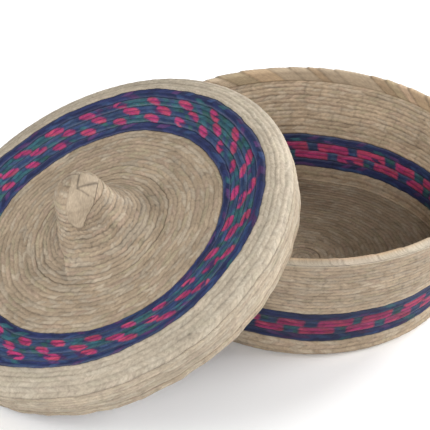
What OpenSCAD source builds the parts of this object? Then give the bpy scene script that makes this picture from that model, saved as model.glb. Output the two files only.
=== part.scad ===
// Round tortilla warmer sewn from flat palm braid: a bowl with a coloured band and a peaked lid.
// Every round of braid is one sewn row. The bowl stands on the floor, centred on the Z axis.
// The lid is taken off: it stands on its edge, leaning back on the bowl's rim on the -X side.

/* [Braid] */
// Thickness of the braid at the middle of a row
braid_t = 4.4; // [3:0.2:5]
// Depth of the groove between two rows, on each face
groove = 0.5; // [0.2:0.1:0.9]
// Width of one sewn row
row_w = 6.6; // [5:0.1:8]

/* [Bowl] */
// Rim diameter, measured across the middle of the wall
rim_d = 250; // [230:1:300]
// Height from the floor to the top of the rim
bowl_h = 92.8; // [80:1:130]
// Diameter of the flat underside
foot_d = 208; // [160:1:216]
// Radius of the turn from the base to the wall, at the middle of the braid
heel_r = 3.3; // [2.6:0.1:8]
// Lean of the wall just above the heel, in degrees from upright
foot_lean = 2; // [0:1:8]
// Share of the wall's height at which it starts to open out
flare_at = 0.3; // [0.2:0.05:0.6]
// Height of the lower edge of the coloured band
band_z = 14.6; // [10:0.2:20]
// Radius of the wrapped rim bead
rim_bead_r = 3; // [2.6:0.1:4]
// Thickness of the strip wrapped round the rim
rim_wrap_t = 1; // [0.6:0.1:1.4]
// How far the rim's wrapping reaches down the inside of the wall, below the middle of the bead
rim_lap = 7.4; // [4:0.2:12]
// Gap between a strip of palm and the braid it is wrapped or folded over
wrap_gap = 0.05; // [0.02:0.01:0.2]
// Radius of the small wound start in the middle of the base
start_r = 13; // [8:1:20]

/* [Lid] */
// Gap all round between the lid's edge and the bowl's rim when the lid is on
lid_fit = 0.7; // [0.4:0.1:3]
// Thickness of the bound edge of the lid
edge_t = 4.8; // [4:0.1:6]
// How far the skirt swells out past the edge
skirt_swell = 2.7; // [0:0.1:8]
// Height of the widest part of the lid above its edge
skirt_h = 23.5; // [18:0.5:50]
// Width of the rounded shoulder, from the widest part to the band
shoulder_w = 14.9; // [10:0.5:20]
// Height of the band's outer edge above the widest part
shoulder_rise = 8.3; // [4:0.1:10]
// Fall of the shoulder just outside the band, in degrees
shoulder_fall = 9; // [2:1:14]
// Fall of the band towards the middle, in degrees
band_slope = 13.9; // [5:0.1:20]
// Height of the peak's tip above the dished middle
peak_h = 46.6; // [30:0.2:60]
// Radius at which the peak meets the dished middle
peak_foot_r = 48; // [40:1:60]
// Radius of the rounded tip
tip_r = 14; // [10:1:18]
// Height of the rounded tip
tip_h = 12; // [8:1:16]

/* [Folded end] */
// Width of the braid end folded over the tip
fold_w = 19; // [12:1:24]
// How far the folded end starts behind the top of the tip
fold_back = 4; // [2:0.5:8]
// How far the folded end lies beside the top of the tip
fold_aside = 8.4; // [0:0.2:12]
// How far the folded end comes down below the top of the tip
fold_drop = 18.4; // [12:0.2:20]
// Thickness of the folded end
fold_t = 1.4; // [1:0.1:2]
// Side of the tip on which the folded end lies, round the lid's axis
fold_turn = -37; // [-180:1:180]
// Slant of the folded end over the tip, in degrees
fold_slant = 29; // [0:1:40]

/* [Leaning lid] */
// Lean of the lid from level, in degrees
lid_lean = 25.7; // [20:0.1:30]
// Gap left between the lid and what it leans on
rest_gap = 0.3; // [0.2:0.1:0.6]

/* [Hidden] */
$fn = 120;
half_t = braid_t / 2;
curve_steps = 10;

// The bowl's band is two mixed rows between two navy rows; the lid's has three mixed rows
bowl_band_rows = 4;
lid_band_rows = 5;

palm = "#c9b491";
palm_light = "#d8c8a8";
navy = "#27305c";
mixed = "#a3285e";

// Places along a row at which its rounded back is drawn, as shares of the row's width
row_shape = [0, 0.3, 0.7];

// ---- Curves, as points [radius, height] at the middle of the braid ----

function arc_points(centre, r, a0, a1) =
    [for (i = [0:curve_steps]) let (a = a0 + (a1 - a0) * i / curve_steps)
        centre + r * [cos(a), sin(a)]];

function bend_points(a, corner, b) =
    [for (i = [0:curve_steps]) let (u = i / curve_steps)
        (1 - u) * (1 - u) * a + 2 * u * (1 - u) * corner + u * u * b];

// Length along a line of points, up to each of them
function run_lengths(p) =
    [for (i = 0, s = 0; i < len(p); i = i + 1, s = s + (i < len(p) ? norm(p[i] - p[i - 1]) : 0)) s];

// Drops points that repeat the one before
function no_repeats(p) = [for (i = [0:len(p) - 1]) if (i == 0 || norm(p[i] - p[i - 1]) > 0.001) p[i]];

function radii_table(p, s) = [for (i = [0:len(p) - 1]) [s[i], p[i][0]]];
function heights_table(p, s) = [for (i = [0:len(p) - 1]) [s[i], p[i][1]]];

// The bowl: flat base, heel, then a wall that opens out towards the rim
foot_r = foot_d / 2;
rim_r = rim_d / 2;
rim_out_r = rim_r + rim_bead_r;
rim_z = bowl_h - rim_bead_r;
heel_centre = [foot_r, half_t + heel_r];
heel_top = heel_centre + heel_r * [cos(foot_lean), -sin(foot_lean)];
wall_rise = rim_z - heel_top[1];
wall_corner = heel_top + wall_rise * flare_at * [tan(foot_lean), 1];
bowl_line = no_repeats(concat([[0, half_t]],
    arc_points(heel_centre, heel_r, -90, -foot_lean),
    bend_points(heel_top, wall_corner, [rim_r, rim_z])));
bowl_runs = run_lengths(bowl_line);
bowl_radii = radii_table(bowl_line, bowl_runs);
bowl_heights = heights_table(bowl_line, bowl_runs);
bowl_end = bowl_runs[len(bowl_runs) - 1];
wall_runs = [for (i = [0:len(bowl_line) - 1]) if (bowl_runs[i] > foot_r + 0.01)
    [bowl_line[i][1], bowl_runs[i]]];
band_start = lookup(band_z, wall_runs);
band_end = band_start + bowl_band_rows * row_w;

// The lid: rounded tip, peak, dished middle, band, shoulder and skirt, with its edge at height 0
edge_r = rim_out_r + lid_fit + edge_t / 2;
wide_r = edge_r + skirt_swell;
band_out = [wide_r - shoulder_w, skirt_h + shoulder_rise];
band_run = lid_band_rows * row_w;
band_in = band_out - band_run * [cos(band_slope), sin(band_slope)];
dish_z = band_in[1];
tip_z = dish_z + peak_h;
tip_foot = [tip_r + tip_h / 8, tip_z - tip_h];
peak_foot = [peak_foot_r, dish_z];
peak_corner = [tip_foot[0] + (peak_foot_r - tip_foot[0]) / 4, dish_z];
shoulder_corner = [wide_r, band_out[1] - shoulder_w * tan(shoulder_fall)];
skirt_corner = [wide_r, skirt_h / 2];
skirt_top = [wide_r, skirt_h];
edge_end = [edge_r, edge_t / 2];
tip_line = bend_points([0, tip_z], [tip_r, tip_z], tip_foot);
peak_line = bend_points(tip_foot, peak_corner, peak_foot);
shoulder_line = bend_points(band_out, shoulder_corner, skirt_top);
skirt_line = bend_points(skirt_top, skirt_corner, edge_end);
lid_line = no_repeats(concat(tip_line, peak_line, [band_in], shoulder_line, skirt_line));
lid_runs = run_lengths(lid_line);
lid_radii = radii_table(lid_line, lid_runs);
lid_heights = heights_table(lid_line, lid_runs);
tip_end = lid_runs[curve_steps];
peak_end = lid_runs[2 * curve_steps];
disc_end = lid_runs[2 * curve_steps + 1];
lid_band_end = disc_end + band_run;
shoulder_end = lid_runs[3 * curve_steps + 2];
lid_end = lid_runs[len(lid_runs) - 1];
binding_start = lid_end - row_w + edge_t / 2;

// ---- Where the leaning lid stands ----

// Height of the middle of the edge, at which the round edge just clears the floor
lid_z = edge_r * sin(lid_lean) + edge_t / 2 * (1 - cos(lid_lean)) + rest_gap;

function segment_gap(q, a, b) = let (ab = b - a, u = max(0, min(1, (q - a) * ab / (ab * ab))))
    norm(q - a - u * ab);

// Gap between the rim's bead, at angle a round the bowl, and the lid's wall or its thicker bound
// edge. It is negative where the bead would be above the lid.
under_heights = [for (i = [0:len(lid_line) - 1]) if (lid_line[i][0] < wide_r && lid_runs[i] < shoulder_end)
    lid_line[i]];
function bead_gap(x, a) = let (
    across = -rim_r * cos(a) - x,
    up = rim_z - lid_z,
    along = across * cos(lid_lean) + up * sin(lid_lean),
    q = [norm([along, rim_r * sin(a)]), up * cos(lid_lean) - across * sin(lid_lean)],
    near = min([for (i = [1:len(lid_line) - 1]) segment_gap(q, lid_line[i - 1], lid_line[i])]),
    wall = q[0] < edge_r && q[1] > lookup(q[0], under_heights) ? -near : near,
    edge = segment_gap(q, row_place(lid_radii, lid_heights, binding_start), edge_end))
    min(wall - half_t, edge - edge_t / 2) - rim_bead_r;

bead_step = 1;
function lid_gap(x) = min([for (a = [0:bead_step:90]) bead_gap(x, a)]);

// Slides the lid towards the bowl until only rest_gap is left, by halving the way 18 times
function slide_in(far, close, turns) = let (mid = (far + close) / 2)
    turns == 0 ? far : lid_gap(mid) > rest_gap ? slide_in(mid, close, turns - 1)
        : slide_in(far, mid, turns - 1);
lid_x = slide_in(-rim_out_r - wide_r, -rim_r / 2, 18);

// ---- Building blocks ----

function row_place(radii, heights, s) = [lookup(s, radii), lookup(s, heights)];
function row_normal(radii, heights, s) = let (
    step = 0.2,
    d = row_place(radii, heights, s + step) - row_place(radii, heights, s - step))
    [-d[1], d[0]] / norm(d);

// One face of a run of rows, from s0 to s1: side is 1 for the upper face and -1 for the lower
function row_face(radii, heights, s0, s1, rows, half, side, cut) =
    [for (k = [0:rows], f = k < rows ? row_shape : [0])
        let (s = s0 + (s1 - s0) * (k + f) / rows)
        row_place(radii, heights, s)
            + side * (half - (f == 0 ? cut : 0)) * row_normal(radii, heights, s)];

function backwards(p) = [for (i = [len(p) - 1:-1:0]) p[i]];

// Cross-section of a run of rows; ends that reach the axis are closed on it
function row_section(radii, heights, s0, s1, rows, half = half_t, under_cut = groove) = concat(
    row_face(radii, heights, s0, s1, rows, half, 1, groove),
    backwards(row_face(radii, heights, s0, s1, rows, half, -1, under_cut)));

function rows_in(s0, s1) = max(1, round((s1 - s0) / row_w));

module bowl_rows(s0, s1, under_cut = groove) {
    rotate_extrude() polygon(row_section(bowl_radii, bowl_heights, s0, s1, rows_in(s0, s1),
        under_cut = under_cut));
}

module lid_rows(s0, s1) {
    rotate_extrude() polygon(row_section(lid_radii, lid_heights, s0, s1, rows_in(s0, s1)));
}

module lean_lid() translate([lid_x, 0, lid_z]) rotate([0, -lid_lean, 0]) children();

// ---- The bowl ----

module bowl_start() {
    color(palm) rotate_extrude() polygon([[0, 0], [start_r, 0], [start_r, braid_t - groove],
        [start_r - row_w * row_shape[1], braid_t], [0, braid_t]]);
}

module bowl_base_rows() {
    color(palm) bowl_rows(start_r, foot_r, under_cut = 0);
}

module bowl_heel_rows() {
    color(palm) bowl_rows(foot_r, band_start);
}

module bowl_band_row(place) {
    bowl_rows(band_start + place * row_w, band_start + (place + 1) * row_w);
}

module bowl_wall_rows() {
    color(palm) rotate_extrude() difference() {
        polygon(row_section(bowl_radii, bowl_heights, band_end, bowl_end,
            rows_in(band_end, bowl_end)));
        translate([rim_r, rim_z]) circle(r = rim_bead_r + wrap_gap);
    }
}

module bowl_rim_core() {
    color(palm) rotate_extrude() translate([rim_r, rim_z]) circle(r = rim_bead_r - rim_wrap_t);
}

// The strip goes over the bundle and down the inside of the wall
lap_steps = 4;
function lap_face(out) = [for (i = [0:lap_steps]) let (s = bowl_end - rim_lap * i / lap_steps)
    row_place(bowl_radii, bowl_heights, s) + out * row_normal(bowl_radii, bowl_heights, s)];

module bowl_rim_wrap() {
    color(palm_light) rotate_extrude() {
        translate([rim_r, rim_z]) difference() {
            circle(r = rim_bead_r);
            circle(r = rim_bead_r - rim_wrap_t);
        }
        polygon(concat(lap_face(max(rim_bead_r, half_t + rim_wrap_t / 2)),
            backwards(lap_face(half_t + wrap_gap))));
    }
}

// ---- The lid ----

// A face that lies out from the middle of the braid, from the tip down over the first points
function tip_face(out, points) = concat([[0, tip_z + out]],
    [for (i = [1:points]) row_place(lid_radii, lid_heights, lid_runs[i])
        + out * row_normal(lid_radii, lid_heights, lid_runs[i])]);

// The wound start of the braid, which makes the rounded tip
module lid_tip_cap() {
    color(palm_light) lean_lid() rotate_extrude()
        polygon(concat(tip_face(half_t, curve_steps), backwards(tip_face(-half_t, curve_steps))));
}

// The braid's end, folded flat over the tip and sewn down
module lid_tip_fold() {
    under = half_t + wrap_gap;
    points = curve_steps + 3;
    color(palm_light) lean_lid() intersection() {
        rotate_extrude() polygon(concat(tip_face(under + fold_t, points),
            backwards(tip_face(under, points))));
        translate([0, 0, tip_z]) rotate([0, fold_slant, fold_turn])
            translate([fold_aside - fold_w / 2, -peak_foot_r, -fold_drop])
                cube([fold_w, peak_foot_r + fold_back, 2 * fold_drop]);
    }
}

module lid_peak_rows() {
    color(palm) lean_lid() lid_rows(tip_end, peak_end);
}

module lid_disc_rows() {
    color(palm) lean_lid() lid_rows(peak_end, disc_end);
}

module lid_band_row(place) {
    lean_lid() lid_rows(disc_end + place * row_w, disc_end + (place + 1) * row_w);
}

module lid_shoulder_rows() {
    color(palm_light) lean_lid() lid_rows(lid_band_end, shoulder_end);
}

module lid_skirt_rows() {
    color(palm_light) lean_lid() lid_rows(shoulder_end, binding_start);
}

// The last row, thicker and rounded over at the edge
module lid_edge_binding() {
    start = row_place(lid_radii, lid_heights, binding_start);
    across = row_normal(lid_radii, lid_heights, binding_start) * edge_t / 2;
    turn = atan2(across[1], across[0]);
    color(palm_light) lean_lid() rotate_extrude()
        polygon(concat([start - across, start + across],
            arc_points(edge_end, edge_t / 2, turn, turn - 180)));
}

bowl_start();
bowl_base_rows();
bowl_heel_rows();
color(navy) bowl_band_row(0);  // bowl_navy_lower
color(mixed) bowl_band_row(1);  // bowl_mixed_row_1
color(mixed) bowl_band_row(2);  // bowl_mixed_row_2
color(navy) bowl_band_row(3);  // bowl_navy_upper
bowl_wall_rows();
bowl_rim_core();
bowl_rim_wrap();
lid_tip_cap();
lid_tip_fold();
lid_peak_rows();
lid_disc_rows();
color(navy) lid_band_row(0);  // lid_navy_inner
color(mixed) lid_band_row(1);  // lid_mixed_row_1
color(mixed) lid_band_row(2);  // lid_mixed_row_2
color(mixed) lid_band_row(3);  // lid_mixed_row_3
color(navy) lid_band_row(4);  // lid_navy_outer
lid_shoulder_rows();
lid_skirt_rows();
lid_edge_binding();
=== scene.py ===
"""Dresses a round tortilla warmer sewn from flat palm braid.

The bowl and its peaked lid are built row by row: every piece is a closed shell that follows the wall's
curve, with the plait's strands raised on both faces. The lid leans on the bowl's rim. Sizes are in
millimetres until a mesh is written in metres.
"""

import bmesh
import bpy
import numpy as np
from mathutils import Matrix, Vector


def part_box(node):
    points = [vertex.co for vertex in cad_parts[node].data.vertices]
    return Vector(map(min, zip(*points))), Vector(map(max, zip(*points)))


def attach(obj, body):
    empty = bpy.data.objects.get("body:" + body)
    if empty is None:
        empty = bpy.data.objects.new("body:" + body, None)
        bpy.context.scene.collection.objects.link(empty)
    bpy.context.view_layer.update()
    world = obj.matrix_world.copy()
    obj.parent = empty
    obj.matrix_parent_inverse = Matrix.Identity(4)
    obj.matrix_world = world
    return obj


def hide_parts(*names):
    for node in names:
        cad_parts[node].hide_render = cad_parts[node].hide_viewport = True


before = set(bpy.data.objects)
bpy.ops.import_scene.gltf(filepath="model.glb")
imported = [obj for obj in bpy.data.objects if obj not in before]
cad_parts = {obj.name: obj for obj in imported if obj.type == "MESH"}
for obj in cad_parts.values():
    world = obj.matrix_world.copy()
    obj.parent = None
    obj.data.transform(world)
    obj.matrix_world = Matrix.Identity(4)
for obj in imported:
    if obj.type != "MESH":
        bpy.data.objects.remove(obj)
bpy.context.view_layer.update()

MM = 0.001
TURN = 2 * np.pi

# ---- Sizes, as in the part's own source ----

BRAID_T = 4.4  # thickness of the braid
HALF_T = BRAID_T / 2
ROW_W = 6.6  # width of one sewn row

RIM_R = 125.0  # the bowl's rim, at the middle of its wall
RIM_BEAD = 3.0  # radius of the bundle and wrapping on the rim
BOWL_H = 92.8
FOOT_R = 104.0  # the flat base
HEEL_R = 3.3  # the bend up from the base
FOOT_LEAN = np.radians(2.0)  # lean of the wall at its foot
FLARE_AT = 0.3  # share of the wall's height at which it begins to flare
BAND_Z = 14.6  # height at which the coloured band begins
BOWL_BAND_ROWS = 4
START_R = 13.0  # the wound start in the middle of the base

LID_FIT = 0.7  # gap between the rim and the lid's edge
EDGE_T = 4.8  # thickness of the bound edge
SKIRT_SWELL = 2.7  # how far the skirt's top stands out past the edge
SKIRT_H = 23.5
SHOULDER_W = 14.9  # the rounded shoulder: its width, its rise and its slope at the band
SHOULDER_RISE = 8.3
SHOULDER_FALL = np.radians(9)
BAND_SLOPE = np.radians(13.9)  # fall of the coloured band towards the dished middle
LID_BAND_ROWS = 5
PEAK_H = 46.6
PEAK_FOOT_R = 48.0
TIP_R = 14.0  # the rounded tip of the peak
TIP_H = 12.0
LEAN = np.radians(25.7)  # lean of the lid from level

# ---- Curves at the middle of the braid, as points [radius, height] ----

CURVE_STEPS = 60


def arc(centre, radius, start, end):
    """Points round a circle: centre + radius * (cos a, sin a), for a from start to end in degrees."""
    a = np.radians(np.linspace(start, end, CURVE_STEPS))
    return np.array(centre) + radius * np.stack([np.cos(a), np.sin(a)], 1)


def bend(a, corner, b):
    """A curve from a to b drawn towards corner: (1-u)^2 a + 2u(1-u) corner + u^2 b, for u from 0 to 1."""
    u = np.linspace(0, 1, CURVE_STEPS)[:, None]
    return (1 - u) ** 2 * np.array(a) + 2 * u * (1 - u) * np.array(corner) + u**2 * np.array(b)


class Line:
    """A wall's curve, looked up by the length along it from the axis."""

    def __init__(self, *stretches):
        points = np.concatenate([np.atleast_2d(np.array(p, float)) for p in stretches])
        keep = np.r_[True, np.linalg.norm(np.diff(points, axis=0), axis=1) > 1e-6]
        self.points = points[keep]
        self.run = np.r_[0, np.cumsum(np.linalg.norm(np.diff(self.points, axis=0), axis=1))]
        self.end = self.run[-1]

    def run_to(self, point):
        """Length along the curve up to its point nearest to the one given."""
        return self.run[np.linalg.norm(self.points - np.array(point), axis=1).argmin()]

    def place(self, s):
        """Radius and height at length s. Past its end the curve goes on straight."""
        r = np.interp(s, self.run, self.points[:, 0])
        z = np.interp(s, self.run, self.points[:, 1])
        last = self.points[-1] - self.points[-2]
        last = last / np.linalg.norm(last)
        over = np.maximum(s - self.end, 0)
        return r + over * last[0], z + over * last[1]

    def normal(self, s, reach=0.8):
        """Unit normal at length s: the step from s - reach to s + reach, turned a quarter to the left."""
        r1, z1 = self.place(np.maximum(s - reach, 0))
        r2, z2 = self.place(s + reach)
        size = np.hypot(r2 - r1, z2 - z1)
        return -(z2 - z1) / size, (r2 - r1) / size


RIM_Z = BOWL_H - RIM_BEAD
heel_centre = (FOOT_R, HALF_T + HEEL_R)
heel_top = np.array(heel_centre) + HEEL_R * np.array([np.cos(FOOT_LEAN), -np.sin(FOOT_LEAN)])
wall_corner = heel_top + (RIM_Z - heel_top[1]) * FLARE_AT * np.array([np.tan(FOOT_LEAN), 1])
heel_curve = arc(heel_centre, HEEL_R, -90, -np.degrees(FOOT_LEAN))
wall_curve = bend(heel_top, wall_corner, (RIM_R, RIM_Z))
BOWL = Line((0, HALF_T), heel_curve, wall_curve)
BAND_START = BOWL.run_to(wall_curve[np.abs(wall_curve[:, 1] - BAND_Z).argmin()])
BAND_END = BAND_START + BOWL_BAND_ROWS * ROW_W

EDGE_R = RIM_R + RIM_BEAD + LID_FIT + EDGE_T / 2
WIDE_R = EDGE_R + SKIRT_SWELL
LID_BAND = LID_BAND_ROWS * ROW_W
band_out = np.array([WIDE_R - SHOULDER_W, SKIRT_H + SHOULDER_RISE])
band_in = band_out - LID_BAND * np.array([np.cos(BAND_SLOPE), np.sin(BAND_SLOPE)])
DISC_Z = band_in[1]
TIP_Z = DISC_Z + PEAK_H
tip_foot = np.array([TIP_R + TIP_H / 8, TIP_Z - TIP_H])
peak_foot = (PEAK_FOOT_R, DISC_Z)
peak_corner = (tip_foot[0] + (PEAK_FOOT_R - tip_foot[0]) / 4, DISC_Z)
shoulder_corner = (WIDE_R, band_out[1] - SHOULDER_W * np.tan(SHOULDER_FALL))
skirt_top = (WIDE_R, SKIRT_H)
LID = Line(
    bend((0, TIP_Z), (TIP_R, TIP_Z), tip_foot),
    bend(tip_foot, peak_corner, peak_foot),
    band_in,
    bend(band_out, shoulder_corner, skirt_top),
    bend(skirt_top, (WIDE_R, SKIRT_H / 2), (EDGE_R, EDGE_T / 2)),
)
TIP_END = LID.run_to(tip_foot)
PEAK_END = LID.run_to(peak_foot)
DISC_END = LID.run_to(band_in)
LID_BAND_END = DISC_END + LID_BAND
SHOULDER_END = LID.run_to(skirt_top)
BINDING_START = LID.end - ROW_W + EDGE_T / 2

# The lid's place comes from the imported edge: its reach to +X and its lowest point
edge_low, edge_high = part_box("lid_edge_binding")
LID_X = edge_high.x / MM - (EDGE_R * np.cos(LEAN) - EDGE_T / 2 * np.sin(LEAN) + EDGE_T / 2)
LID_Z = edge_low.z / MM + EDGE_R * np.sin(LEAN) - EDGE_T / 2 * np.cos(LEAN) + EDGE_T / 2


def on_bowl(r, z, turn):
    """Bowl coordinates to the part's frame: (r cos turn, r sin turn, z)."""
    return np.stack([r * np.cos(turn), r * np.sin(turn), z], -1)


def on_lid(r, z, turn):
    """Lid coordinates to the part's frame: (x, y, z) turned about the Y axis by LEAN, then moved.

    With x = r cos turn and y = r sin turn it is (LID_X + x cos LEAN - z sin LEAN, y,
    LID_Z + x sin LEAN + z cos LEAN).
    """
    across, side = r * np.cos(turn), r * np.sin(turn)
    x = LID_X + across * np.cos(LEAN) - z * np.sin(LEAN)
    up = LID_Z + across * np.sin(LEAN) + z * np.cos(LEAN)
    return np.stack([x, side, up], -1)


# How a basket's rows are laid: outward is 1 where the outer face is on the side of the curve's normal
BOWL_SIDE = {"line": BOWL, "place": on_bowl, "outward": -1, "body": "bowl", "drift_seed": 0.6}
LID_SIDE = {"line": LID, "place": on_lid, "outward": 1, "body": "lid", "drift_seed": 1.7}

# ---- The plait ----

STRAND_PITCH = 6.8  # from strand to strand along a row
STRAND_LEAN = 0.8  # how far a strand runs on while it crosses its half row, in pitches
LEAST_STRANDS = 5
LEAST_RADIUS = 2
GROOVE = 0.6  # depth between rows
SEAM = 0.32  # depth between the half rows
STRAND_DROP = 0.27  # fall of a strand to its sides
STRAND_UNEVEN = 0.18  # how much lower the lowest strand lies
SHINGLE = 0.35  # rise of a row over the one before
ROW_SHADE, SEAM_SHADE, STRAND_SHADE, JOINT_SHADE = 0.75, 0.5, 0.42, 0.42
JOINT_PITCH = 11.0  # from leaf end to leaf end along a row
JOINT_W = 0.8
JOINT_LEAN = 0.1
LEAST_JOINTS = 3
FIBRE_SHIFT = 50  # sets the fibres of one strand apart from the next one's


def noise(*keys):
    """A steady number from 0 to 1 for each set of whole numbers: the fraction of a large sine."""
    mix = sum(np.asarray(k, float) * w for k, w in zip(keys, (12.9898, 78.233, 37.719, 4.581)))
    return np.mod(np.sin(mix) * 43758.5453, 1.0)


def smooth(x, low, high):
    """0 below low, 1 above high and 3t^2 - 2t^3 between them."""
    t = np.clip((x - low) / (high - low), 0, 1)
    return t * t * (3 - 2 * t)


def waves(turn, seed, *parts):
    """A sum of sines round the basket: each part is (whole waves a turn, height)."""
    return sum(h * np.sin(n * turn + seed * (i + 1.3)) for i, (n, h) in enumerate(parts))


def drift(turn, seed):
    """How far the rows wander from true circles, in rows: slow waves and small ones round the basket."""
    return waves(turn, seed, (2, 0.10), (5, 0.07), (11, 0.05), (29, 0.025), (53, 0.015), (97, 0.008))


def leaf_joints(middle, turn, v, seed):
    """Shade where one leaf ends and the next is laid in: e^-(d / JOINT_W)^2 times the joint's own number.

    The distance d from the joint is in mm along a row, and each row has its joints at other places.
    """
    row = np.floor(v)
    joints = np.maximum(np.round(TURN * middle / JOINT_PITCH), LEAST_JOINTS)
    laid = joints * turn / TURN + noise(row, seed + 6) + waves(turn + row, seed, (5, 0.2), (13, 0.15))
    d = (np.mod(laid, 1) - 0.5 + JOINT_LEAN * (v - row - 0.5)) * JOINT_PITCH
    deep = noise(np.mod(np.floor(laid), joints), row, seed + 7)
    return JOINT_SHADE * deep * np.exp(-((d / JOINT_W) ** 2))


def plait(line, s, turn, first, row_w, seed):
    """The plait at length s and angle turn, for rows of width row_w that begin at length first.

    Each row is two half rows of strands that lean opposite ways and meet in a V. With f the share of
    the way across a row, g across a half row and q across a strand, the drop below the full thickness is
    GROOVE |2f-1|^5 + SEAM |2g-1|^5 (1 - |2f-1|^2) + STRAND_DROP (0.4 + 0.6 n) |2q-1|^3
    + SHINGLE f (1 - f^8) + STRAND_UNEVEN (1 - n), where n is the strand's own number. Shade lies in the
    same places, as higher powers of the same distances, and at the leaf joints.
    Gives the drop, the shade, two more numbers of the strand's own, and the place along and across the
    strand's fibres in mm.
    """
    v = (s - first) / row_w
    row, half_row = np.floor(v), np.floor(2 * v)
    f, g = v - row, 2 * v - half_row
    middle, _ = line.place(first + (half_row + 0.5) * row_w / 2)
    middle = np.maximum(middle, LEAST_RADIUS)
    strands = np.maximum(np.round(TURN * middle / STRAND_PITCH), LEAST_STRANDS)
    sign = np.where(np.mod(half_row, 2) > 0.5, 1.0, -1.0)
    uneven = waves(turn + half_row, seed, (7, 0.22), (23, 0.14), (41, 0.10))
    phase = strands * turn / TURN + sign * STRAND_LEAN * (g - 0.5) + noise(half_row, seed) + uneven
    cell = np.mod(np.floor(phase), strands)
    q = phase - np.floor(phase)
    side, edge = np.abs(2 * q - 1), np.abs(2 * f - 1)
    seam = np.abs(2 * g - 1) ** 5 * (1 - edge**2)
    own = noise(cell, half_row, seed + 1)
    depth = 0.4 + 0.6 * own
    drop = GROOVE * edge**5 + SEAM * seam + STRAND_DROP * depth * side**3
    drop = drop + SHINGLE * f * (1 - f**8) + STRAND_UNEVEN * (1 - own)
    broken = 0.45 + 0.55 * noise(np.floor(phase / 2), np.floor(v + 0.5), seed + 4)
    shade = ROW_SHADE * broken * edge**6 + STRAND_SHADE * depth * side**5 + SEAM_SHADE * seam**2 * depth
    shade = np.clip(shade + leaf_joints(middle, turn, v, seed), 0, 1)
    around = turn * middle
    slope = -sign * STRAND_LEAN * STRAND_PITCH / (row_w / 2)
    long = np.hypot(slope, 1)
    fibre = np.stack([(around * slope + s) / long + FIBRE_SHIFT * own, (around - s * slope) / long], -1)
    return drop, shade, noise(cell, half_row, seed + 2), noise(cell, half_row, seed + 3), fibre


# ---- Colours of the strands, in linear light ----

PALM = np.array([0.380, 0.293, 0.203])
PALM_CREAM = np.array([0.490, 0.438, 0.350])
PALM_WARM = np.array([0.400, 0.282, 0.170])
PALM_ROSY = np.array([0.412, 0.288, 0.224])
PALM_GREEN = np.array([0.353, 0.327, 0.206])
PALM_BROWN = np.array([0.258, 0.185, 0.116])
NAVY = np.array([0.018, 0.026, 0.090])
NAVY_BLUE = np.array([0.026, 0.050, 0.130])
PURPLE = np.array([0.070, 0.030, 0.110])
TEAL = np.array([0.028, 0.104, 0.132])
TEAL_GREEN = np.array([0.026, 0.094, 0.090])
STEEL = np.array([0.036, 0.066, 0.140])
THREAD = np.array([0.150, 0.160, 0.220])
PINK = np.array([0.400, 0.034, 0.135])
PINK_WARM = np.array([0.430, 0.048, 0.115])

ODD_SHARE = 0.3  # how far an odd palm strand departs from its neighbours
THREAD_AT, THREAD_W = 0.13, 0.05  # a thread line's place and width in a dyed row, as shares of it
MIDDLE_W = 0.07  # the navy line along the middle of a mixed row
RUN_SOFT = 0.05  # softness of a run's ends
RUN_EDGE = 0.07  # width of the darker strands round a run
RUN_EDGE_SHARE = 0.38


def blend(first, second, share):
    """One colour into another: first (1 - share) + second share."""
    share = np.asarray(share)[..., None]
    return first * (1 - share) + second * share


def hump(x, middle, width):
    """1 at the middle, falling away on both sides: e^-((x - middle) / width)^2."""
    return np.exp(-(((x - middle) / width) ** 2))


def pick(share, *steps):
    """Chooses a colour by share: steps are (upper limit of share, colour) in rising order."""
    out = np.zeros(share.shape + (3,))
    low = -1.0
    for high, colour in steps:
        out[(share > low) & (share <= high)] = colour
        low = high
    return out


def palm_strands(base, pale=0.0):
    """Natural palm leaf: the base colour with some cream, rosy, green and brown strands.

    A strand is 0.7 of the base and 0.3 of an odd colour picked by its first number, drawn towards cream
    by pale. Its tone is 0.89 to 1.09 by its second number, times slow waves round the basket.
    """

    def strands(v, turn, one, two):
        odd = pick(one, (0.42, base), (0.70, PALM_CREAM), (0.80, PALM_ROSY),
                   (0.90, PALM_GREEN), (1, PALM_BROWN))
        slow = 1 + 0.05 * np.sin(3 * turn + 1.7 * v) + 0.04 * np.sin(8 * turn - 0.9 * v)
        own = base * (1 - ODD_SHARE) + odd * ODD_SHARE
        own = own * (1 - pale) + PALM_CREAM * pale
        return own * ((0.89 + 0.2 * two) * slow)[..., None]

    return strands


def thread_lines(colour, v, turn):
    """Thin paler lines along both borders of a dyed row, which come and go round the basket.

    Their share is 0.4 hump(d, THREAD_AT, THREAD_W) (0.55 + 0.45 sin(3 turn + 9 row)), with d the
    distance from the row's border.
    """
    row = np.floor(v)
    d = 0.5 - np.abs(v - row - 0.5)
    share = 0.4 * hump(d, THREAD_AT, THREAD_W) * (0.55 + 0.45 * np.sin(3 * turn + 9 * row))
    return blend(colour, THREAD, share)


def navy_strands(v, turn, one, two):
    """Navy palm leaf with some bluer, purple and teal strands, in tones 0.7 to 1.3."""
    base = pick(one, (0.66, NAVY), (0.86, NAVY_BLUE), (0.97, PURPLE), (1, TEAL))
    return thread_lines(base * (0.7 + 0.6 * two)[..., None], v, turn)


def ground_strands(block, row, one):
    """Teal, green and blue strands that lie between the pink ones, mostly alike within a block."""
    share = np.mod(0.7 * noise(block, row, 17.0) + 0.45 * one, 1.0)
    return pick(share, (0.38, TEAL), (0.47, TEAL_GREEN), (0.72, STEEL), (0.94, NAVY_BLUE), (1, PURPLE))


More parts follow.
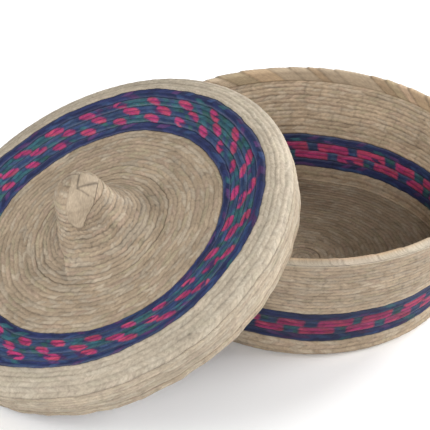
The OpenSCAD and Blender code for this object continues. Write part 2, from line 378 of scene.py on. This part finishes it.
def block_strands(radius, period, share, stagger, slant, lens):
    """Pink runs on a teal and blue ground, in staggered rows of a band at the given radius.

    A row's pattern is the fraction p of (whole patterns round the basket + the row's stagger - slant
    times the way across it). A strand is pink where |2p - 1| is under share, which narrows by
    lens |2f - 1|^1.5 towards the row's borders. Darker strands edge each run, and a navy line parts a
    row's halves.
    """
    patterns = round(TURN * radius / period)

    def strands(v, turn, one, two):
        row = np.clip(np.floor(v), 0, len(stagger) - 1)
        f = np.clip(v - row, 0, 1)
        half = np.floor(2 * f)
        shift = np.array(stagger)[row.astype(int)] - slant * f + 0.05 * (noise(half, row, 3.0) - 0.5)
        phase = patterns * turn / TURN + shift + 0.05 * np.sin(4 * turn + row)
        block = np.mod(np.floor(phase), patterns)
        off = np.abs(2 * (phase - np.floor(phase)) - 1)
        narrow = 1 - lens * np.abs(2 * f - 1) ** 1.5
        reach = share * (0.82 + 0.36 * noise(block, row, 5.0)) * narrow
        between = np.mod(np.floor(phase + 0.5), patterns)
        ground = ground_strands(between, row, noise(np.floor(6 * phase), half, row))
        pink = pick(two, (0.55, PINK), (0.92, PINK_WARM), (1, PURPLE))
        out = blend(pink, ground, smooth(off, reach - RUN_SOFT, reach + RUN_SOFT))
        out = blend(out, NAVY, RUN_EDGE_SHARE * hump(off, reach + RUN_EDGE, RUN_EDGE))
        out = blend(out, NAVY, 0.5 * hump(f, 0.5, MIDDLE_W))
        return thread_lines(out * (0.70 + 0.55 * one)[..., None], v, turn)

    return strands


BASE_TAN = palm_strands(PALM)
# Painted light: the heel's and the wall's palm are made lighter than the base's
HEEL_TAN_PAINTED_LIGHT = palm_strands(PALM * 1.12)
WALL_TAN_PAINTED_LIGHT = palm_strands(PALM * 1.32)
# Painted shade: inside the rim the palm is warmer and darker than the cream outside
RIM_INSIDE_SHADE = palm_strands(PALM_WARM * 0.85 + PALM * 0.25)
# Painted shade: the lid's shoulder, skirt and edge rows grow less cream towards the lower edge, where the
# skirt turns under
CREAM = palm_strands(PALM, 0.55)
SKIRT_CREAM = palm_strands(PALM, 0.34)
EDGE_TAN = palm_strands(PALM, 0.15)
BOWL_BLOCKS = block_strands(radius=112, period=30, share=0.70, stagger=[0, 0.58], slant=0.06, lens=0.05)
LID_BLOCKS = block_strands(radius=103, period=26, share=0.42, stagger=[0.98, 0.36, 0], slant=0.26,
                           lens=0.55)

# ---- Meshes ----

FIBRE_JUMP = 6  # a step of the fibres' place, in mm, that means two corners lie on different strands
SAME_PLACE = 1e-6


def grid_faces(rows, cols, close_long, flip):
    """Corners of a grid's faces. Its columns close round; its rows do so too when told to."""
    index = np.arange(rows * cols).reshape(rows, cols)
    here, below = (index, np.roll(index, -1, 0)) if close_long else (index[:-1], index[1:])
    corners = [here, np.roll(here, -1, 1), np.roll(below, -1, 1), below]
    return np.stack(corners[::-1] if flip else corners, -1).reshape(-1, 4)


def grid_mesh(name, points, colours, fibres, close_long, flip=False):
    """A mesh over a grid of points in mm, with a colour and a place along the fibres for each of them.

    A face whose corners lie on different strands takes the fibres of its first corner.
    """
    faces = grid_faces(*points.shape[:2], close_long, flip)
    count = points.size // 3
    mesh = bpy.data.meshes.new(name)
    mesh.vertices.add(count)
    mesh.vertices.foreach_set("co", (points * MM).astype(np.float32).ravel())
    mesh.loops.add(faces.size)
    mesh.loops.foreach_set("vertex_index", faces.astype(np.int32).ravel())
    mesh.polygons.add(len(faces))
    mesh.polygons.foreach_set("loop_start", np.arange(0, faces.size, 4, dtype=np.int32))
    mesh.polygons.foreach_set("use_smooth", np.ones(len(faces), bool))
    mesh.update(calc_edges=True)
    rgba = np.ones((count, 4), np.float32)
    rgba[:, :3] = colours.reshape(-1, 3)
    layer = mesh.color_attributes.new("strand_colour", "FLOAT_COLOR", "POINT")
    layer.data.foreach_set("color", rgba.ravel())
    at_corner = fibres.reshape(-1, 2)[faces.ravel()].reshape(-1, 4, 2)
    jump = np.abs(at_corner - at_corner[:, :1]).max((1, 2)) > FIBRE_JUMP
    at_corner[jump] = at_corner[jump][:, :1]
    mesh.uv_layers.new(name="fibres").data.foreach_set("uv", at_corner.astype(np.float32).ravel())
    mesh.validate()
    piece = bpy.data.objects.new(name, mesh)
    bpy.context.scene.collection.objects.link(piece)
    return piece


def edit_mesh(piece, change):
    """Runs change on an editable copy of the piece's mesh and writes that back."""
    cage = bmesh.new()
    cage.from_mesh(piece.data)
    change(cage)
    cage.to_mesh(piece.data)
    cage.free()


def join_pole(piece):
    """Joins points that lie on each other, so the pole becomes one point."""
    edit_mesh(piece, lambda cage: bmesh.ops.remove_doubles(cage, verts=cage.verts, dist=SAME_PLACE))


def close_ends(piece):
    """Fills the open ends of a tube-like piece and turns its faces outwards."""

    def fill(cage):
        bmesh.ops.holes_fill(cage, edges=[e for e in cage.edges if e.is_boundary], sides=0)
        bmesh.ops.triangulate(cage, faces=[f for f in cage.faces if len(f.verts) > 4])
        bmesh.ops.recalc_face_normals(cage, faces=cage.faces)

    edit_mesh(piece, fill)
    piece.data.polygons.foreach_set("use_smooth", np.ones(len(piece.data.polygons), bool))


# ---- The crease in the peak ----

# Its course: length along the lid's curve from the tip, and the angle round the peak there
CREASE_RUN = [20, 40, 48, 54, 63, 72]
CREASE_TURN = np.radians([158, 166, 180, 194, 205, 216])
CREASE_PROUD = 0.8
CREASE_SINK = 8
CREASE_STEEP = 0.8  # the most it sinks, as a share of the height above the dished middle


def along(s, first, full, last, end):
    """A share by the length s: 0 up to first, 1 from full to last, and 0 again from end on."""
    return smooth(s, first, full) * (1 - smooth(s, last, end))


def from_crease(s, turn):
    """Distance from the crease round the peak in mm, and whether it is in front of the crease."""
    middle = np.interp(s, CREASE_RUN, CREASE_TURN)
    away = np.mod(turn - middle + np.pi, TURN) - np.pi
    return np.abs(away) * LID.place(s)[0], away > 0


def crease(s, turn):
    """The crease down the peak's left side, where the flank behind falls in.

    With d the distance from it, it stands CREASE_PROUD e^(-d/14) proud in front. Behind it sinks to
    CREASE_PROUD e^(-d/2) - k (1 - e^(-d/2)) e^(-d/26), where k is CREASE_SINK or, lower down,
    CREASE_STEEP of the height above the dished middle.
    """
    d, in_front = from_crease(s, turn)
    height = np.maximum(LID.place(s)[1] - DISC_Z, 0)
    proud = CREASE_PROUD * along(s, 17, 30, 64, 76)
    sink = np.minimum(CREASE_SINK, CREASE_STEEP * height) * along(s, 24, 40, 62, 73)
    behind = proud * np.exp(-d / 2) - sink * (1 - np.exp(-d / 2)) * np.exp(-d / 26)
    return np.where(in_front, proud * np.exp(-d / 14), behind)


def crease_light_and_shade(s, turn):
    """Painted light and shade beside the crease: a painted highlight of 1 + 0.16 e^(-(d/1.6)^2) on its
    edge, for the distance d.

    Behind it a painted shade of 0.3 e^(-d/14) is taken off, which grows over the first 2.5 mm.
    """
    d, in_front = from_crease(s, turn)
    behind = np.where(in_front, 0.0, 0.3 * np.exp(-d / 14) * smooth(d, 0, 2.5))
    return 1 + along(s, 24, 36, 66, 78) * (0.16 * hump(d, 0, 1.6) - behind)


# ---- Leaf materials ----


def add_node(tree, kind, inputs):
    """Adds a shader node of one kind and sets its inputs by name."""
    node = tree.nodes.new("ShaderNode" + kind)
    for name, value in inputs.items():
        node.inputs[name].default_value = value
    return node


def map_range(tree, from_low, from_high, to_low, to_high):
    """Adds a node that carries the first range to the second one and holds what lies outside."""
    ends = {"From Min": from_low, "From Max": from_high, "To Min": to_low, "To Max": to_high}
    return add_node(tree, "MapRange", ends)


def link(tree, *links):
    """Links nodes: each link is (from node, its output, to node, its input)."""
    for source, output, target, entry in links:
        tree.links.new(source.outputs[output], target.inputs[entry])


def new_material(name):
    """A new material with nodes, its node tree and its shader."""
    material = bpy.data.materials.new(name)
    material.use_nodes = True
    return material, material.node_tree, material.node_tree.nodes["Principled BSDF"]


def leaf(name, roughness, streak):
    """Palm leaf: the strand's own colour times streaks of fibres and a broad wash.

    With n the fibres' noise, stretched along the strand, the tone goes from 1 - streak at n = 0.3 to
    1 + streak at n = 0.7, the roughness is roughness - 0.1 + 0.2 n and the bump is n times 0.4 mm, at
    half strength. The wash goes from 0.93 to 1.05 over spots of 2 cm.
    """
    material, tree, shader = new_material(name)
    shader.inputs["Specular IOR Level"].default_value = 0.3
    strand = add_node(tree, "VertexColor", {})
    strand.layer_name = "strand_colour"
    place = add_node(tree, "UVMap", {})
    place.uv_map = "fibres"
    stretch = add_node(tree, "Mapping", {"Scale": (0.4, 0.95, 1)})
    fibres = add_node(tree, "TexNoise", {"Scale": 1.0, "Detail": 4.0})
    spots = add_node(tree, "TexNoise", {"Scale": 0.055, "Detail": 2.0})
    tone = map_range(tree, 0.3, 0.7, 1 - streak, 1 + streak)
    wash = map_range(tree, 0.35, 0.65, 0.93, 1.05)
    rough = map_range(tree, 0, 1, roughness - 0.1, roughness + 0.1)
    bump = add_node(tree, "Bump", {"Strength": 0.5, "Distance": 0.0004})
    both = add_node(tree, "Math", {})
    both.operation = "MULTIPLY"
    colour = add_node(tree, "VectorMath", {})
    colour.operation = "SCALE"
    link(
        tree,
        (place, "UV", stretch, "Vector"),
        (stretch, "Vector", fibres, "Vector"),
        (place, "UV", spots, "Vector"),
        (fibres, "Fac", tone, "Value"),
        (spots, "Fac", wash, "Value"),
        (tone, "Result", both, 0),
        (wash, "Result", both, 1),
        (strand, "Color", colour, "Vector"),
        (both, "Value", colour, "Scale"),
        (colour, "Vector", shader, "Base Color"),
        (fibres, "Fac", rough, "Value"),
        (rough, "Result", shader, "Roughness"),
        (fibres, "Fac", bump, "Height"),
        (bump, "Normal", shader, "Normal"),
    )
    return material


dry_leaf = leaf("dry_palm_leaf", 0.68, 0.17)
dyed_leaf = leaf("dyed_palm_leaf", 0.60, 0.22)


def finish_piece(piece, body, node, slot):
    """Gives the piece the leaf for the node's slot and its body, and hides the CAD node it stands for."""
    piece.data.materials.append(dyed_leaf if slot in ("palm_navy", "palm_mixed") else dry_leaf)
    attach(piece, body)
    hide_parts(node)


# ---- Rows of braid ----

SAMPLES_A_ROW = 8  # points across a row, and across one of a flat underside
HIDDEN_SAMPLES = 3
ARC_STEP = 1.02  # from point to point round the basket, in mm
LEAST_AROUND = 96
MOST_FACES = 96000
FACE_SHADE = 0.52  # how far the plait's shade darkens the leaf
DRIFT_GROWS = (4, 40)  # where the wandering grows, in mm from the axis
DRIFT_STOPS = (14, 3)  # and where it stops, in mm before the curve's end


def shell_grid(side, s0, s1, rows, flat_under):
    """Length, angle and face of each point of a shell: out along one face and back along the other.

    A face is 1 on the side of the curve's normal and -1 on the other one.
    """
    there = np.linspace(s0, s1, rows * SAMPLES_A_ROW + 1)
    back = np.linspace(s1, s0, rows * (HIDDEN_SAMPLES if flat_under else SAMPLES_A_ROW) + 1)
    widest = side["line"].place(there)[0].max()
    most = MOST_FACES / (len(there) + len(back))
    around = int(min(max(LEAST_AROUND, TURN * widest / ARC_STEP), most))
    first = 1.0 if flat_under else side["outward"]
    face = np.repeat([first, -first], [len(there), len(back)])[:, None] + np.zeros(around)
    s, turn = np.meshgrid(np.r_[there, back], np.arange(around) * TURN / around, indexing="ij")
    return s, turn, face


def braid_shell(side, s0, s1, name, colour, seed, rows=None, pole=False, flat_under=False,
                v_from=0.0, lift=None, dark=FACE_SHADE, outer=1.0):
    """A closed shell of sewn rows along the wall's curve from s0 to s1.

    Each face stands off the curve by half the thickness less the plait's drop; a flat underside has no
    drop. The rows wander round the basket by drift(). The colour is the strand's, less dark times the
    plait's shade, and times outer on the outer face, a painted shade that makes that face darker than
    the inner one. v_from is the colour pattern's row at s0. A pole closes the shell on the axis, at its
    mean height there.
    """
    line = side["line"]
    rows = rows or max(1, round((s1 - s0) / ROW_W))
    row_w = (s1 - s0) / rows
    s, turn, face = shell_grid(side, s0, s1, rows, flat_under)
    # A border between two rows belongs to its own row at both ends of the shell
    within = np.clip(s, s0 + 1e-4, s1 - 1e-4)
    drop, shade, one, two, fibre = plait(line, within, turn, s0, row_w, seed)
    if flat_under:
        drop = np.where(face < 0, 0.0, drop)
    fade = along(s, *DRIFT_GROWS, *(line.end - before for before in DRIFT_STOPS))
    moved = s + ROW_W * drift(turn, side["drift_seed"]) * fade
    r, z = line.place(moved)
    nr, nz = line.normal(moved)
    reach = face * (HALF_T - drop)
    rgb = colour(v_from + (within - s0) / row_w, turn, one, two)
    # Painted shade: the plait's shade in its grooves, and a darker outer face
    rgb = rgb * ((1 - dark * shade) * np.where(face == side["outward"], outer, 1.0))[..., None]
    if line is LID:
        reach = reach + crease(moved, turn)
        # Painted highlight along the crease's edge and painted shade on the flank behind it
        rgb = rgb * crease_light_and_shade(moved, turn)[..., None]
    r, z = r + nr * reach, z + nz * reach
    if pole:
        at_pole = s <= s0 + 1e-9
        r = np.where(at_pole, 0.0, r)
        z = np.where(at_pole, z.mean(1, keepdims=True), z)
    if lift is not None:
        out, up = lift(turn, s)
        r, z = r + out, z + up
    piece = grid_mesh(name, side["place"](r, z, turn), rgb, fibre, not pole, flip=face[0, 0] > 0)
    if pole:
        join_pole(piece)
    return piece


def lay_rows(side, s0, s1, name, node, slot, colour, seed, **form):
    """One length of braid, finished as the CAD node's piece. The form goes on to braid_shell."""
    finish_piece(braid_shell(side, s0, s1, name, colour, seed, **form), side["body"], node, slot)


def lay_band(side, start, first, mixed, last, blocks, seed, **form):
    """The coloured band: a navy row, some mixed rows and a navy row again, each a piece of its own."""
    nodes = [first, *(f"{side['body']}_mixed_row_{i + 1}" for i in range(mixed)), last]
    for i, node in enumerate(nodes):
        slot, colour = ("palm_mixed", blocks) if 0 < i <= mixed else ("palm_navy", navy_strands)
        s = start + i * ROW_W
        lay_rows(side, s, s + ROW_W, node + "_braid", node, slot, colour, seed + i,
                 v_from=i - 1.0, **form)


# ---- The bowl ----

WALL_SHORT = 0.6  # the wall ends this far under the top of its curve, inside the rim


def build_bowl():
    """The bowl's rows from the middle of the base up to the rim."""
    lay_rows(BOWL_SIDE, 0, START_R, "bowl_start_coil", "bowl_start", "palm_braid", BASE_TAN, 3,
             pole=True, flat_under=True)
    lay_rows(BOWL_SIDE, START_R, FOOT_R, "bowl_base_coil", "bowl_base_rows", "palm_braid", BASE_TAN, 5,
             flat_under=True)
    # Painted light: the heel is made lighter than the base
    lay_rows(BOWL_SIDE, FOOT_R, BAND_START, "bowl_heel_braid", "bowl_heel_rows", "palm_braid",
             HEEL_TAN_PAINTED_LIGHT, 7)
    # Painted shade: the band's outer face is made darker than its inner one
    lay_band(BOWL_SIDE, BAND_START, "bowl_navy_lower", BOWL_BAND_ROWS - 2, "bowl_navy_upper",
             BOWL_BLOCKS, 11, outer=0.64)
    # Painted light and shade: the wall's palm is made lighter, and its outer face darker than its inner
    # one
    lay_rows(BOWL_SIDE, BAND_END, BOWL.end - WALL_SHORT, "bowl_wall_braid", "bowl_wall_rows",
             "palm_braid", WALL_TAN_PAINTED_LIGHT, 19, dark=0.62, outer=0.77)


# Section of the rim's wrapping: [way down from the top, way out from the middle of the wall]
RIM_SECTION = np.array([
    [10.4, -2.1], [9.6, -2.9], [6.0, -3.15], [2.6, -3.1], [0.6, -2.0], [-0.1, 0.0],
    [0.4, 1.9], [1.3, 2.8], [2.2, 2.8], [2.75, 2.2], [3.3, 2.7], [4.3, 2.5], [4.8, 0.8], [10.0, -0.8],
])
RIM_GROOVE = 2.75  # way down to the groove under the outer bead
RIM_FINE, RIM_AROUND = 56, 860  # points round the section and round the rim
WRAP_SLANT = 1.4  # mm that a strip runs on round the rim for each mm down
STRIPS = 48
STRIP_WIDTHS = (8.0, 26.0)
RIB_PITCH = 3.1
RIB_H = 0.12


def closed_curve(knots, count):
    """Points on a smooth closed curve through the knots.

    From p1 to p2, with p0 before and p3 after them, it is (2 p1 + (p2 - p0) u
    + (2 p0 - 5 p1 + 4 p2 - p3) u^2 + (3 p1 - p0 - 3 p2 + p3) u^3) / 2, for u from 0 to 1.
    """
    t = np.arange(count) / count * len(knots)
    k = np.floor(t).astype(int)
    u = (t - k)[:, None]
    p0, p1, p2, p3 = (knots[(k + step) % len(knots)] for step in (-1, 0, 1, 2))
    return 0.5 * (2 * p1 + (p2 - p0) * u + (2 * p0 - 5 * p1 + 4 * p2 - p3) * u**2
                  + (3 * p1 - p0 - 3 * p2 + p3) * u**3)


def strip_edges():
    """Places of the strips' edges round the rim in mm. A width is low + (high - low) n^1.6."""
    low, high = STRIP_WIDTHS
    widths = low + (high - low) * noise(np.arange(STRIPS), 4.0) ** 1.6
    return np.r_[0, np.cumsum(widths)] * (TURN * RIM_R / widths.sum())


def build_rim():
    """The rim: slanting strips of uneven width laid over the top of the wall, each over the one before.

    With q the share of the way over a strip and n its own number, its back rises by
    (0.5 + 0.6 n) (0.25 + 0.75 q) and falls to the next strip in its last 1.2 mm. Fine ribs
    RIB_H sin(2 pi l / RIB_PITCH + 3 n) lie on it, with l the place round the rim. Both swell the section
    by 0.13 of their height and raise its top. Painted shade darkens the strips at their edges, in the
    ribs and in the groove. They are cream outside the rim and a warmer, darker palm inside it, a painted
    shade of the same strips.
    """
    section = closed_curve(RIM_SECTION, RIM_FINE)
    around = np.arange(RIM_AROUND) * TURN / RIM_AROUND
    down, turn = np.meshgrid(section[:, 0], around, indexing="ij")
    out, _ = np.meshgrid(section[:, 1], around, indexing="ij")
    inner = smooth(-out, -2, 2)
    place = turn * RIM_R + WRAP_SLANT * down * (2 * inner - 1) + 2.0 * np.sin(6 * turn)
    place = np.mod(place, TURN * RIM_R)
    edges = strip_edges()
    strip = np.clip(np.searchsorted(edges, place, "right") - 1, 0, STRIPS - 1)
    since, ahead = place - edges[strip], edges[strip + 1] - place
    q = since / (edges[strip + 1] - edges[strip])
    raised = (0.5 + 0.6 * noise(strip, 2.0)) * (0.25 + 0.75 * q) * smooth(ahead, 0, 1.2)
    rib = TURN * place / RIB_PITCH + 3 * noise(strip, 9.0)
    ribs = RIB_H * np.sin(rib)
    size = 1 + (raised + ribs - 0.35) * 0.13
    s = BOWL.end + RIM_BEAD - down
    r, z = BOWL.place(s)
    nr, nz = BOWL.normal(np.minimum(s, BOWL.end - 1))
    r, z = r - nr * out * size, z - nz * out * size
    z = z + smooth(-down, -4, 0) * (raised - 1.0 + ribs) * 1.1
    # Painted shade at the strips' overlapping edges, in the ribs and in the groove under the outer bead
    dark = hump(np.minimum(since, ahead), 0, 0.9) * (0.35 + 0.65 * noise(strip, 13.0))
    dark = dark + 0.9 * hump(down, RIM_GROOVE, 0.4) * (1 - inner) + 0.22 * (np.cos(rib) < -0.85)
    one, two = noise(strip, 11.0), noise(strip, 12.0)
    # Inside the rim a warmer, darker palm: painted shade
    rgb = blend(CREAM(down, turn, one, two), RIM_INSIDE_SHADE(down, turn, one, two), inner)
    rgb = rgb * (1 - 0.55 * np.clip(dark, 0, 1))[..., None]
    fibre = np.stack([down * 1.2 + 30 * one, place], -1)
    rim = grid_mesh("bowl_rim_strips", on_bowl(r, z, turn), rgb, fibre, True, flip=True)
    finish_piece(rim, "bowl", "bowl_rim_wrap", "palm_pale")


def build_hidden_core():
    """The bundle inside the rim keeps its CAD shape and is palm all through: brown to cream by a noise."""
    material, tree, shader = new_material("palm_bundle")
    shader.inputs["Roughness"].default_value = 0.8
    where = add_node(tree, "TexCoord", {})
    fibres = add_node(tree, "TexNoise", {"Scale": 700})
    ramp = add_node(tree, "ValToRGB", {})
    ramp.color_ramp.elements[0].color = (*PALM_BROWN, 1)
    ramp.color_ramp.elements[1].color = (*PALM_CREAM, 1)
    link(
        tree,
        (where, "Object", fibres, "Vector"),
        (fibres, "Fac", ramp, "Fac"),
        (ramp, "Color", shader, "Base Color"),
    )
    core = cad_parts["bowl_rim_core"]
    core.data.materials.clear()
    core.data.materials.append(material)


# ---- The lid ----


def edge_wave(turn, s):
    """The lid's lower edge waves in and up between stitches, and less so up to the shoulder."""
    part = smooth(s, SHOULDER_END, LID.end)
    out = waves(turn, 2.0, (37, 0.3), (61, 0.08), (9, 0.3)) - 0.7
    up = 0.7 + waves(turn, 5.0, (23, 0.25), (9, 0.3), (51, 0.04))
    return out * part, up * part


def build_lid():
    """The lid's rows from the tip of the peak out to the bound edge."""
    lay_rows(LID_SIDE, 0, TIP_END, "lid_tip_coil", "lid_tip_cap", "palm_pale", BASE_TAN, 31, pole=True)
    lay_rows(LID_SIDE, TIP_END, PEAK_END, "lid_peak_braid", "lid_peak_rows", "palm_braid",
             BASE_TAN, 33, dark=0.66)
    lay_rows(LID_SIDE, PEAK_END, DISC_END, "lid_disc_braid", "lid_disc_rows", "palm_braid",
             BASE_TAN, 35, dark=0.5)
    lay_band(LID_SIDE, DISC_END, "lid_navy_inner", LID_BAND_ROWS - 2, "lid_navy_outer", LID_BLOCKS, 41)
    lay_rows(LID_SIDE, LID_BAND_END, SHOULDER_END, "lid_shoulder_braid", "lid_shoulder_rows",
             "palm_pale", CREAM, 51, dark=0.42)
    lay_rows(LID_SIDE, SHOULDER_END, BINDING_START, "lid_skirt_braid", "lid_skirt_rows", "palm_pale",
             SKIRT_CREAM, 53, lift=edge_wave, dark=0.40)
    lay_rows(LID_SIDE, BINDING_START, LID.end + EDGE_T / 2, "lid_edge_braid", "lid_edge_binding",
             "palm_pale", EDGE_TAN, 55, rows=1, lift=edge_wave)


FOLD_TURN = np.radians(-37)  # turn of the strip's plane about the lid's axis, and the slant in it
FOLD_SLANT = np.radians(29)
FOLD_ASIDE = 8.4  # how far the strip's middle lies beside the axis
FOLD_HALF = 9.5  # half its width
FOLD_T = 1.4
FOLD_SUNK = 0.5  # how far its underside is sunk into the tip
FOLD_CENTRE = 16.0  # how far under the tip's top the lines start that carry it to the tip
FOLD_LONG, FOLD_WIDE = 80, 44  # points along and across it
FLAP_SIDE = -0.38  # the flap's side edge, as a place across the strip
# Middle of the strip in its own upright plane: [way round the front, height], from the tip's top
FOLD_PATH = np.array([[4.0, 4.3], [-4.0, 4.6], [-9.9, 2.1], [-14.5, -3.0], [-17.2, -8.8], [-19.6, -18.4]])


def fold_strip(a, b):
    """The strip before it is laid on: x, y and height over the tip, for a along it and b across it.

    Its middle follows FOLD_PATH. At its end it is narrower, by 0.55 where b > 0 and by 0.22 elsewhere,
    and its corners are rounded off. Then it is turned by FOLD_SLANT in its plane and by FOLD_TURN about
    the lid's axis.
    """
    right = FOLD_HALF * (1 - 0.55 * smooth(a, 0.45, 1.0))
    left = FOLD_HALF * (1 - 0.22 * smooth(a, 0.7, 1.0))
    across = FOLD_ASIDE + np.where(b > 0, b * right, b * left)
    run = np.clip(a - 0.05 * b * b * smooth(a, 0.8, 1), 0, 1) * (len(FOLD_PATH) - 1)
    front, height = (np.interp(run, np.arange(len(FOLD_PATH)), FOLD_PATH[:, i]) for i in (0, 1))
    x = across * np.cos(FOLD_SLANT) + height * np.sin(FOLD_SLANT)
    z = -across * np.sin(FOLD_SLANT) + height * np.cos(FOLD_SLANT)
    return (
        x * np.cos(FOLD_TURN) - front * np.sin(FOLD_TURN),
        x * np.sin(FOLD_TURN) + front * np.cos(FOLD_TURN),
        z,
    )


def onto_tip(x, y, z):
    """Carries points onto the tip, 0.3 mm under its highest strands, along lines from FOLD_CENTRE.

    Gives the radius and height there, the face's normal and the angle round the axis.
    """
    s = np.linspace(0, TIP_END + 16, 240)
    (r, level), (nr, nz) = LID.place(s), LID.normal(s)
    r, level = r + nr * (HALF_T - 0.3), level + nz * (HALF_T - 0.3)
    rise = np.arctan2(r, level - TIP_Z + FOLD_CENTRE)
    s_here = np.interp(np.arctan2(np.hypot(x, y), z + FOLD_CENTRE), rise, s)
    return np.interp(s_here, s, r), np.interp(s_here, s, level), LID.normal(s_here), np.arctan2(y, x)


def fold_relief(a, b):
    """The strip's height over the tip in mm, its shade and the share of its flap.

    The flap lies over the strip's first part, down to a slanting edge at a = 0.38 - 0.15 (b + 1) and
    beside FLAP_SIDE. Under it a second layer ends at a = 0.29 + 0.12 (b - FLAP_SIDE). The height is
    FOLD_T (0.45 + 0.55 e) + flap e + 0.5 second (1 - flap) and low bumps of the plait, with
    e = 1 - |b|^10. Edges and seams are dark.
    """
    slanting = 0.38 - 0.15 * (b + 1)
    slanting_2 = 0.29 + 0.12 * (b - FLAP_SIDE)
    beside = smooth(b, -0.40, -0.34)
    flap = smooth(slanting - a, 0, 0.035) * beside
    second = smooth(slanting_2 - a, 0, 0.035)
    edge = 1 - np.abs(b) ** 10
    bumps = 0.10 * np.cos(TURN * (6 * a + 0.7 * b)) + 0.08 * np.cos(TURN * 1.5 * b)
    height = FOLD_T * (0.45 + 0.55 * edge) + flap * edge + 0.5 * second * (1 - flap) + bumps
    seam = hump(a, slanting, 0.022) * beside
    seam_2 = hump(a, slanting_2, 0.018) * (b < 0.45) * beside
    seam_3 = hump(b, FLAP_SIDE, 0.06) * (1 - smooth(a - slanting, 0, 0.03))
    borders = 0.25 * np.abs(b) ** 12 + (b > 0.88) + 0.6 * smooth(a, 0.97, 1.0)
    return height, np.clip(borders + seam + 0.7 * seam_2 + seam_3, 0, 1), flap


def build_fold():
    """The braid's end folded over the tip and sewn down: a strip, and on it a flap."""
    a, b = np.meshgrid(np.linspace(0, 1, FOLD_LONG), np.linspace(-1, 1, FOLD_WIDE), indexing="ij")
    r, z, (nr, nz), turn = onto_tip(*fold_strip(a, b))
    height, dark, flap = fold_relief(a, b)
    one, two = noise(np.floor(7 * a), np.floor(3 * b + 0.5), 61.0), noise(np.floor(5 * a), 62.0)
    # Painted shade along the strip's edges, at its end and in its seams
    rgb = EDGE_TAN(a, turn, 0.35 * one, two * 0.5 + 0.35) * (1 - 0.58 * dark)[..., None]
    fibre = np.stack([a * 34 + 5 * flap, b * 9.5 + 20], -1)
    top = on_lid(r + nr * height, z + nz * height, turn)
    under = on_lid(r - nr * FOLD_SUNK, z - nz * FOLD_SUNK, turn)
    faces = ((top, under), (rgb, rgb), (fibre, fibre))
    points, rgb, fibre = (np.concatenate([front, back[:, ::-1]], 1) for front, back in faces)
    fold = grid_mesh("lid_tip_tongue", points, rgb, fibre, False)
    close_ends(fold)
    finish_piece(fold, "lid", "lid_tip_fold", "palm_pale")


# ---- Studio ----

CAMERA_TURN = np.radians(-26.91)
CAMERA_RISE = np.radians(31.79)
CAMERA_DISTANCE = 1.22547
CAMERA_LOOKS_AT = np.array([-0.04623, 0.1152, 0.05])
PICTURE = 430  # the picture's width and height in pixels
FOCAL_PIXELS = 1623.78
MIDDLE_X, MIDDLE_Y = 173.35, 144.49  # the pixel that the lens points at
SENSOR = 36.0
FLOOR_HALF = 12.0
LAMPS_AIM = (-0.04, 0.0, 0.05)
LAMPS = (  # name, place and size in metres, power in watts
    ("right_light", (1.47, -0.74, 1.00), 0.9, 28),
    ("left_light", (-1.63, 0.20, 1.00), 0.9, 19),
    ("front_light", (-0.74, -1.47, 1.00), 0.8, 15),
    ("back_light", (1.56, 0.51, 1.00), 0.9, 30),
)
SKY = (0.97, 0.985, 1.0, 1)
SKY_STRENGTH = 0.25


def build_camera():
    """The photograph's view: a long lens from the lid's side, 32 degrees above the table."""
    back = np.array([
        np.sin(CAMERA_TURN) * np.cos(CAMERA_RISE),
        -np.cos(CAMERA_TURN) * np.cos(CAMERA_RISE),
        np.sin(CAMERA_RISE),
    ])
    right = np.array([np.cos(CAMERA_TURN), np.sin(CAMERA_TURN), 0])
    up = np.cross(back, right)
    lens = bpy.data.cameras.new("camera")
    lens.sensor_fit = "HORIZONTAL"
    lens.sensor_width = SENSOR
    lens.lens = FOCAL_PIXELS / PICTURE * SENSOR
    lens.shift_x = (PICTURE / 2 - MIDDLE_X) / PICTURE
    lens.shift_y = (MIDDLE_Y - PICTURE / 2) / PICTURE
    lens.clip_end = 50
    camera = bpy.data.objects.new("camera", lens)
    turned = Matrix(np.stack([right, up, back], 1).tolist()).to_4x4()
    camera.matrix_world = Matrix.Translation(Vector(CAMERA_LOOKS_AT + back * CAMERA_DISTANCE)) @ turned
    bpy.context.scene.collection.objects.link(camera)
    bpy.context.scene.camera = camera


def build_floor():
    """A wide white floor at the height that the bowl stands on."""
    white, _, shader = new_material("white_floor")
    shader.inputs["Base Color"].default_value = (0.97, 0.97, 0.97, 1)
    shader.inputs["Roughness"].default_value = 0.9
    shader.inputs["Specular IOR Level"].default_value = 0.1
    mesh = bpy.data.meshes.new("floor")
    corners = [(x * FLOOR_HALF, y * FLOOR_HALF, 0) for x, y in ((-1, -1), (1, -1), (1, 1), (-1, 1))]
    mesh.from_pydata(corners, [], [(0, 1, 2, 3)])
    mesh.materials.append(white)
    floor = bpy.data.objects.new("floor", mesh)
    bpy.context.scene.collection.objects.link(floor)


def build_lights():
    """Four broad soft lights, the strongest at the right and behind on the right, and a dim sky."""
    for name, place, size, power in LAMPS:
        lamp = bpy.data.lights.new(name, "AREA")
        lamp.size = size
        lamp.energy = power
        light = bpy.data.objects.new(name, lamp)
        light.location = place
        light.rotation_euler = (Vector(LAMPS_AIM) - Vector(place)).to_track_quat("-Z", "Y").to_euler()
        bpy.context.scene.collection.objects.link(light)
    world = bpy.data.worlds.new("studio")
    world.use_nodes = True
    world.node_tree.nodes["Background"].inputs["Color"].default_value = SKY
    world.node_tree.nodes["Background"].inputs["Strength"].default_value = SKY_STRENGTH
    bpy.context.scene.world = world
    bpy.context.scene.view_settings.view_transform = "Standard"


build_camera()
build_bowl()
build_rim()
build_hidden_core()
build_lid()
build_fold()
build_floor()
build_lights()
